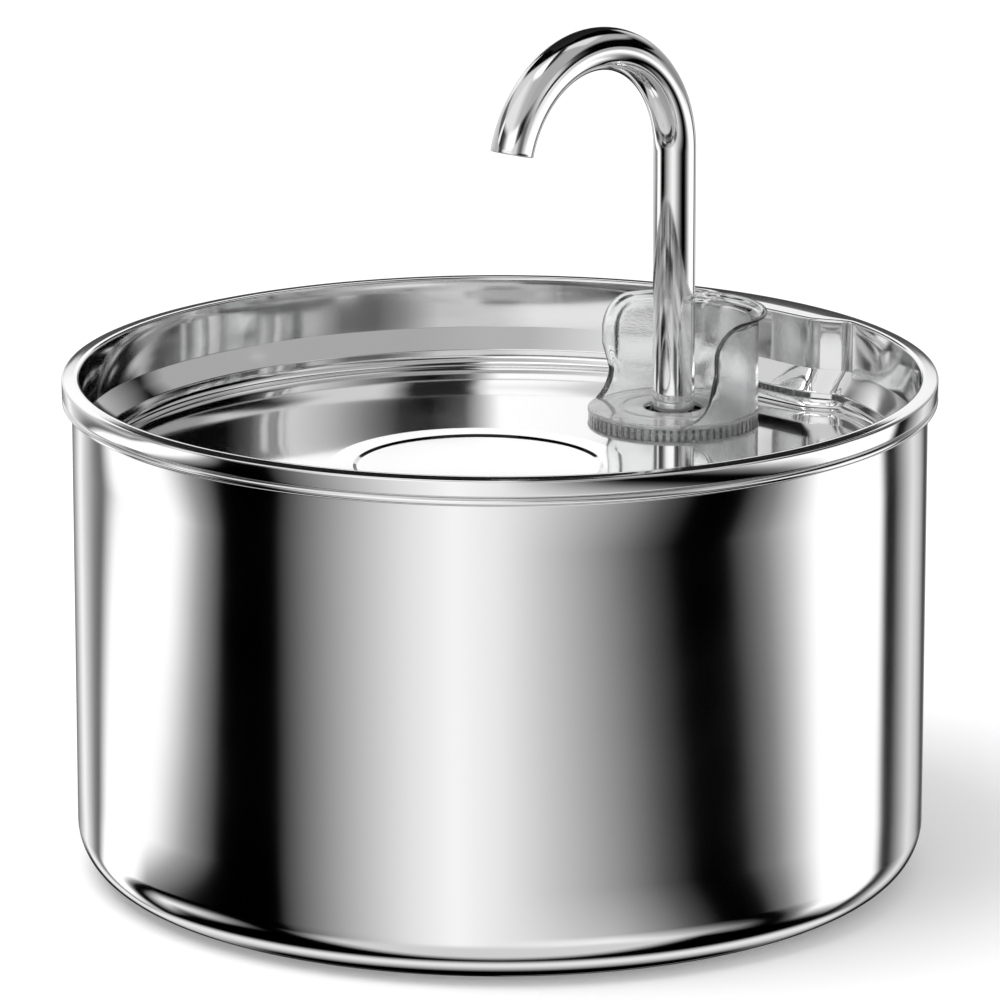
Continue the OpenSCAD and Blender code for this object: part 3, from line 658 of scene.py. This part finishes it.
def shield_outline(steps):
    """The shield's side view, as heights and the angle round to which the wall reaches at each:
    arccos(front / shield_r). The front line is upright, with a round corner at the top and a foot
    that sweeps forward on an arc. The heights lie closer together toward the top."""
    spacing = np.sin(np.linspace(0, 1, steps) * math.pi / 2) ** 0.9
    up = shield_low + (shield_top - shield_low) * spacing
    rise = np.clip(up - (shield_top - shield_corner), 0, None)
    drop = np.clip(deck_top + shield_foot - up, 0, shield_foot)
    front = shield_corner - shield_front - np.sqrt(np.clip(shield_corner**2 - rise**2, 0, None))
    front -= shield_foot - np.sqrt(shield_foot**2 - drop**2)
    return up, np.arccos(np.clip(front / shield_r, -1, 1))


def shield_wall_parts(up, reach):
    """The shield's inner and outer face on a grid of angle by height, and the four strips that
    close them. Toward its edge the wall turns outwards by a smooth step, and over its last half
    wall its thickness falls as sqrt(1 - share squared), so that the edge is round."""
    steps, bunch = 97, 0.92
    quarter = bunch * math.pi / 2
    spacing = np.sin(np.linspace(-1, 1, steps) * quarter) / math.sin(quarter)
    theta = spacing[:, None] * reach
    z = np.broadcast_to(up, theta.shape)

    # distance to the edge of the side view: its top, its front line or its round corner
    dx = shield_corner - shield_front - shield_r * np.cos(theta)
    dz = z - (shield_top - shield_corner)
    straight = np.minimum(shield_top - z, shield_r * (reach - np.abs(theta)))
    gap = np.where((dx > 0) & (dz > 0), shield_corner - np.hypot(dx, dz), straight)

    upper = np.clip((z - deck_top - flare_rise) / flare_rise, 0, 1)
    outward = flare * smooth_share(1 - gap / flare_depth) * upper
    half = shield_wall / 2
    thick = half * np.sqrt(1 - np.clip(1 - gap / half, 0, 1) ** 2)
    middle_r = shield_r - half + outward
    outer, inner = (
        round_axis(middle_r + sign * thick, theta + guard_turn, z, faucet_at) for sign in (1, -1)
    )
    strips = [
        np.stack([outer[0], inner[0]]),
        np.stack([outer[-1], inner[-1]]),
        np.stack([outer[:, -1], inner[:, -1]]),
        np.stack([outer[:, 0], inner[:, 0]]),
    ]
    return [grid_part(points) for points in (outer, inner, *strips)]


def grain_shield(piece, up, reach):
    """Writes where the mould was eroded to the attribute "grain": 0 on a strip along the wall's
    edge, then rising to 1. The distance to the edge is that to its top or along the wall."""
    place = np.empty(len(piece.data.vertices) * 3)
    piece.data.vertices.foreach_get("co", place)
    x, y, z = (place.reshape(-1, 3) / MM - [*faucet_at, 0]).T
    side = np.abs((np.arctan2(y, x) - guard_turn + math.pi) % TAU - math.pi)
    gap = np.minimum(shield_top - z, shield_r * (np.interp(z, up, reach) - side))
    grain = piece.data.attributes.new("grain", "FLOAT", "POINT")
    grain.data.foreach_set("value", np.clip((gap - grain_from) / grain_blend, 0, 1))


def ring_block(r_in, r_out, low, high, centre, width, steps):
    """A piece of ring round the faucet's axis between two radii and two heights, with a middle
    direction and a width in radians, closed."""
    a = centre + np.linspace(-width / 2, width / 2, steps)
    loop = np.array([(r_in, low), (r_out, low), (r_out, high), (r_in, high)])
    verts, quads = grid_part(round_axis(loop[:, 0], a[:, None], loop[:, 1], faucet_at), wrap_v=True)
    last = (steps - 1) * len(loop)
    return verts, quads + [[0, 1, 2, 3], [last + 3, last + 2, last + 1, last]]


def guard_deck_part():
    """The deck's section, with its hole, its bead and its round edge, turned round the faucet."""
    section = rounded(
        [
            (deck_hole, comb_top, 0.0),
            (deck_r, comb_top, 0.2),
            (deck_r, deck_top, 0.45),
            (bead_r + bead_foot, deck_top, 0.1),
            (bead_r + bead_top, deck_top + bead_h, 0.15),
            (bead_r - bead_top, deck_top + bead_h, 0.15),
            (bead_r - bead_foot, deck_top, 0.1),
            (deck_hole, deck_top, 0.3),
            (deck_hole, comb_top, 0),
        ],
        steps=5,
    )
    return turned(section, steps=160, centre=faucet_at)


def guard_collar_parts():
    """The collar: a ring turned round the faucet, and the posts between its windows above it."""
    inner = collar_r - collar_wall
    low, ring_top = comb_top - collar_l, comb_top - window_h
    section = np.array(
        [(collar_r, ring_top), (collar_r, low), (inner, low), (inner, ring_top), (collar_r, ring_top)]
    )
    pitch = TAU / windows_n
    post_w = pitch - window_w / collar_r
    posts = [
        ring_block(inner, collar_r, ring_top, comb_top + post_sunk, guard_turn + k * pitch, post_w, 5)
        for k in range(windows_n)
    ]
    return [turned(section, steps=96, centre=faucet_at), *posts]


def guard_comb_parts():
    """The comb's teeth: blocks of ring under the deck's edge, with slots between them."""
    pitch = TAU / teeth_n
    tooth_w = pitch - slot_w / deck_r
    high = comb_top + tooth_sunk
    return [
        ring_block(tooth_in, tooth_out, floor_z, high, guard_turn + (k + 0.5) * pitch, tooth_w, 3)
        for k in range(teeth_n)
    ]


def build_guard():
    """Deck, collar and comb are turned or repeated round the faucet's axis. The shield is a
    curved wall: each height reaches round to the angle where its side view ends."""
    make_piece("guard_deck", [guard_deck_part()], frosted_plastic, "guard")
    make_piece("guard_collar", guard_collar_parts(), frosted_plastic, "guard")
    make_piece("guard_comb", guard_comb_parts(), frosted_plastic, "guard")
    up, reach = shield_outline(steps=56)
    shield = make_piece(
        "guard_shield",
        shield_wall_parts(up, reach),
        clear_plastic,
        "guard",
        sharp=50,
        stands_for=("splash_guard",),
    )
    grain_shield(shield, up, reach)


build_bowl()
build_tray()
build_faucet()
build_guard()


# ---------------------------------------------------------------- studio


# White and black cards round the table, as (direction in degrees from the camera's, brightness),
# with the directions on its right positive. The low ring shows in the bowl's side and the faucet,
# the middle ring in the tray's wall, and the high ring in the tray's floor.
low_cards = [
    (-180, 0.05),
    (-176, 0.3),
    (-171, 0.16),
    (-163, 0.5),
    (-155, 1.1),
    (-143, 0.25),
    (-139, 0.13),
    (-132, 1.3),
    (-103, 1.3),
    (-91, 0.4),
    (-80, 0.0),
    (-62, 0.0),
    (-50, 0.28),
    (-25, 0.92),
    (-12, 1.15),
    (0, 1.0),
    (12, 0.7),
    (25, 0.42),
    (41, 0.1),
    (50, 0.0),
    (66, 0.0),
    (78, 0.25),
    (86, 0.66),
    (95, 1.3),
    (123, 1.3),
    (127, 0.0),
    (132, 0.03),
    (147, 0.9),
    (155, 0.6),
    (163, 0.07),
    (168, 0.1),
    (176, 0.75),
]
middle_cards = [
    (-180, 0.03),
    (-173, 0.1),
    (-167, 1.1),
    (-150, 0.8),
    (-121, 0.65),
    (-100, 0.5),
    (-85, 0.6),
    (-76, 0.1),
    (-64, 0.05),
    (-55, 0.6),
    (-45, 1.15),
    (-10, 1.1),
    (0, 0.85),
    (17, 0.8),
    (27, 0.35),
    (35, 0.15),
    (45, 0.16),
    (54, 0.6),
    (64, 0.65),
    (72, 1.1),
    (80, 0.9),
    (87, 0.5),
    (96, 0.45),
    (102, 0.9),
    (107, 0.42),
    (122, 0.28),
    (150, 0.4),
    (165, 0.6),
    (173, 0.1),
    (180, 0.03),
]
high_cards = [
    (-180, 1.2),
    (-140, 1.1),
    (-128, 0.15),
    (-102, 0.12),
    (-97, 1.2),
    (-89, 1.2),
    (-85, 0.0),
    (-62, 0.1),
    (-50, 0.5),
    (-38, 1.2),
    (-26, 1.4),
    (0, 1.5),
    (5, 0.7),
    (10, 0.1),
    (20, 0.0),
    (28, 0.03),
    (38, 0.27),
    (50, 0.65),
    (62, 0.9),
    (67, 0.7),
    (75, 0.1),
    (84, 0.0),
    (110, 0.0),
    (130, 0.0),
    (150, 0.6),
    (180, 1.2),
]


# How far the cards of the low ring lean, in radians of direction for a step of 1 in height above a
# foot that lies lean_depth under the level. A ramp holds no negative value, so it gets each one
# plus lean_base.
lean_depth, lean_base = 0.28, 8
lean = [(-150, 0), (-112, -7.4), (-72, 0), (0, 0), (32, 2.8), (75, 2.8), (110, 0)]


def build_world():
    """White to the camera, an even soft light for matt things, and in the mirrors three rings of
    cards, a ceiling over them and a table under them. A card's direction is arctan(x / -y), where
    x runs to the right, y away from the camera and z up, each from -1 to 1."""
    world = bpy.data.worlds.new("studio")
    bpy.context.scene.world = world
    world.use_nodes = True
    tree = world.node_tree
    tree.nodes.clear()
    place = add(tree, "ShaderNodeTexCoord").outputs["Generated"]
    x, y, z = add(tree, "ShaderNodeSeparateXYZ", Vector=place).outputs
    nearer = add(tree, "ShaderNodeMath", {"operation": "MULTIPLY"}, n0=y, n1=-1.0)
    angle = add(tree, "ShaderNodeMath", {"operation": "ARCTAN2"}, n0=x, n1=nearer.outputs[0])

    def share_of(source, start, end):
        """A share from 0 to 1 while the source goes from start to end."""
        span = add(tree, "ShaderNodeMapRange", n0=source, n1=start, n2=end, n3=0.0, n4=1.0)
        return span.outputs["Result"]

    def ring(cards, shift=0.0):
        """The brightness of a ring of cards in each direction, turned by a shift in radians."""
        moved = add(tree, "ShaderNodeMath", {"operation": "ADD"}, n0=angle.outputs[0], n1=shift)
        ramp = add(tree, "ShaderNodeValToRGB", Fac=share_of(moved.outputs[0], -math.pi, math.pi))
        stops = ramp.color_ramp.elements
        while len(stops) > 1:
            stops.remove(stops[-1])
        for i, (direction, level) in enumerate(cards):
            at = (direction + 180) / 360
            stop = stops[0] if i == 0 else stops.new(at)
            stop.position = at
            stop.color = (level, level, level, 1)
        return ramp.outputs["Color"]

    def mixed(share, a, b):
        """A mix of two levels or colours, by the share of the second."""
        a, b = (v if isinstance(v, bpy.types.NodeSocket) else (v, v, v, 1) for v in (a, b))
        mix = add(tree, "ShaderNodeMix", {"data_type": "RGBA"}, n0=share, n6=a, n7=b)
        return mix.outputs["Result"]

    def across(source, start, end, a, b):
        """Goes from a to b while the source goes from start to end."""
        return mixed(share_of(source, start, end), a, b)

    # the low ring's cards lean: their directions shift with the height
    leans = ring([(direction, slope + lean_base) for direction, slope in lean])
    slope = add(tree, "ShaderNodeMath", {"operation": "SUBTRACT"}, n0=leans, n1=lean_base)
    rise = add(tree, "ShaderNodeMath", {"operation": "ADD"}, n0=z, n1=lean_depth)
    shift = add(tree, "ShaderNodeMath", {"operation": "MULTIPLY"}, n0=slope.outputs[0], n1=rise.outputs[0])
    cards = across(z, -0.14, -0.04, ring(low_cards, shift.outputs[0]), ring(middle_cards))
    # a black card over the middle ring at the far right, and a white one at the far end
    cards = across(z, 0.08, 0.12, cards, across(x, 0.82, 0.9, cards, 0.0))
    cards = across(z, 0.2, 0.207, cards, across(y, 0.8, 0.9, cards, 1.0))
    cards = across(z, 0.226, 0.234, cards, ring(high_cards))

    # the ceiling: pale on the left and grey on the right, and at its top white, black and grey
    pale = across(y, -0.1, 0.1, 0.95, 0.75)
    ceiling = across(x, -0.45, -0.1, pale, across(x, 0.05, 0.3, 0.55, 0.48))
    zenith = across(x, 0.02, 0.08, 1.5, across(x, 0.14, 0.24, 0.05, 0.33))
    ceiling = across(z, 0.93, 0.96, ceiling, zenith)
    # its far half is white high up, and on the left white in front of black
    ceiling = across(y, 0.0, 0.06, ceiling, across(z, 0.7, 0.76, ceiling, 0.9))
    corner = across(x, -0.3, -0.15, across(y, 0.42, 0.5, 0.8, 0.0), ceiling)
    corner = across(y, 0.0, 0.08, ceiling, corner)
    ceiling = across(z, 0.6, 0.66, ceiling, corner)
    # it ends in black toward the far end and on the far right, and a black strip crosses its top
    beyond = add(tree, "ShaderNodeMath", {"operation": "ADD"}, n0=y, n1=z)
    ceiling = across(beyond.outputs[0], 1.13, 1.19, ceiling, 0.0)
    strip = across(x, 0.05, 0.08, ceiling, across(x, 0.2, 0.27, 0.02, ceiling))
    ceiling = across(z, 0.95, 0.97, ceiling, strip)
    ceiling = across(x, 0.78, 0.86, ceiling, 0.0)
    cards = across(z, 0.42, 0.5, cards, ceiling)

    # the table, by the tilt of the surface that mirrors it: what is left of the direction without
    # the line of sight points along that surface's normal
    sight = (0.0, 0.955, -0.297)
    normal = add(tree, "ShaderNodeVectorMath", {"operation": "SUBTRACT"}, n0=place, n1=sight)
    normal = add(tree, "ShaderNodeVectorMath", {"operation": "NORMALIZE"}, n0=normal.outputs[0])
    aside, _, tilt = add(tree, "ShaderNodeSeparateXYZ", Vector=normal.outputs[0]).outputs
    along = add(tree, "ShaderNodeVectorMath", {"operation": "DOT_PRODUCT"}, n0=place, n1=sight)
    # painted shadow: the table is black where it runs under and behind the bowl, and dark at the steepest
    # tilts, in place of the bowl's shadow on it, which mirrors don't see
    table = across(y, -0.48, -0.32, 0.78, 0.0)
    table = across(tilt, -0.47, -0.55, table, 0.95)
    table_end = across(aside, -0.5, -0.38, 0.4, across(aside, 0.38, 0.5, 0.0, 0.3))
    table = across(tilt, -0.6, -0.74, table, table_end)
    cards = across(z, -0.52, -0.66, cards, table)
    # under the cards, what is mirrored at a grazing angle is black: a painted shadow of the table just
    # under the bowl's edge
    outline = across(along.outputs["Value"], 0.93, 0.96, cards, 0.0)
    cards = across(z, -0.31, -0.36, cards, outline)

    # clear things show the cards at the sides and white behind
    through = across(y, 0.5, 0.75, cards, 1.0)
    soft_light, camera_white = 0.9, 1.0
    path = add(tree, "ShaderNodeLightPath").outputs
    seen = mixed(path["Is Camera Ray"], soft_light, camera_white)
    seen = mixed(path["Is Glossy Ray"], seen, cards)
    seen = mixed(path["Is Transmission Ray"], seen, through)
    light = add(tree, "ShaderNodeBackground", Color=seen, Strength=1.0)
    add(tree, "ShaderNodeOutputWorld", Surface=light.outputs[0])


def flat_sheet(name, corners, material):
    """An object with a single face, its corners in metres."""
    mesh = bpy.data.meshes.new(name)
    mesh.from_pydata(corners, [], [(0, 1, 2, 3)])
    mesh.materials.append(material)
    sheet = bpy.data.objects.new(name, mesh)
    bpy.context.scene.collection.objects.link(sheet)
    return sheet


def build_card():
    """A black card high behind the faucet, out of the camera's view. Only mirrors see it: it
    darkens the top of the faucet's bend."""
    half, low, high, away = 0.13, 0.243, 1.0, 0.35
    black, _, _ = new_material("black_card", Base_Color=(0.004, 0.004, 0.004, 1), Roughness=1.0)
    corners = [(-half, away, low), (half, away, low), (half, away, high), (-half, away, high)]
    card = flat_sheet("black_card", corners, black)
    card.visible_camera = card.visible_diffuse = card.visible_shadow = card.visible_transmission = False


def build_floor():
    """A wide white table. Mirrors look past it at the cards, so that it darkens no metal. To the
    camera and through clear things it glows a little, so that it shows white around its shadow."""
    half, glow = 6.0, 0.06
    white, tree, shader = new_material("white_table", Base_Color=(0.92, 0.92, 0.92, 1), Roughness=0.9)
    path = add(tree, "ShaderNodeLightPath").outputs
    straight, through = path["Is Camera Ray"], path["Is Transmission Ray"]
    seen = add(tree, "ShaderNodeMath", {"operation": "MAXIMUM"}, n0=straight, n1=through)
    tree.links.new(seen.outputs[0], shader.inputs["Emission Strength"])
    shader.inputs["Emission Color"].default_value = (glow, glow, glow, 1)
    corners = [(-half, -half, 0), (half, -half, 0), (half, half, 0), (-half, half, 0)]
    floor = flat_sheet("floor", corners, white)
    floor.visible_glossy = False


def build_lamp():
    """A soft square lamp up on the left, aimed at the bowl and unseen in mirrors."""
    place, aim = Vector((-0.6, -0.3, 1.5)), Vector((0, 0, 0.08))
    lamp = bpy.data.lights.new("overhead", "AREA")
    lamp.shape, lamp.size, lamp.energy = "SQUARE", 1.0, 14
    lamp_object = bpy.data.objects.new("overhead", lamp)
    lamp_object.location = place
    lamp_object.rotation_euler = (aim - place).to_track_quat("-Z", "Y").to_euler()
    lamp_object.visible_glossy = False
    bpy.context.scene.collection.objects.link(lamp_object)


def build_camera():
    """A long lens, looking down at the bowl from the front."""
    distance, lift, aim_z = 1.676, math.radians(14.596), 0.08665
    camera = bpy.data.cameras.new("camera")
    camera.lens, camera.sensor_width = 260.4, 36
    camera.clip_start, camera.clip_end = 0.1, 50
    camera_object = bpy.data.objects.new("camera", camera)
    camera_object.location = (0, -distance * math.cos(lift), aim_z + distance * math.sin(lift))
    camera_object.rotation_euler = (math.pi / 2 - lift, 0, 0)
    bpy.context.scene.collection.objects.link(camera_object)
    bpy.context.scene.camera = camera_object


build_world()
build_card()
build_floor()
build_lamp()
build_camera()
bpy.context.scene.view_settings.view_transform = "Standard"
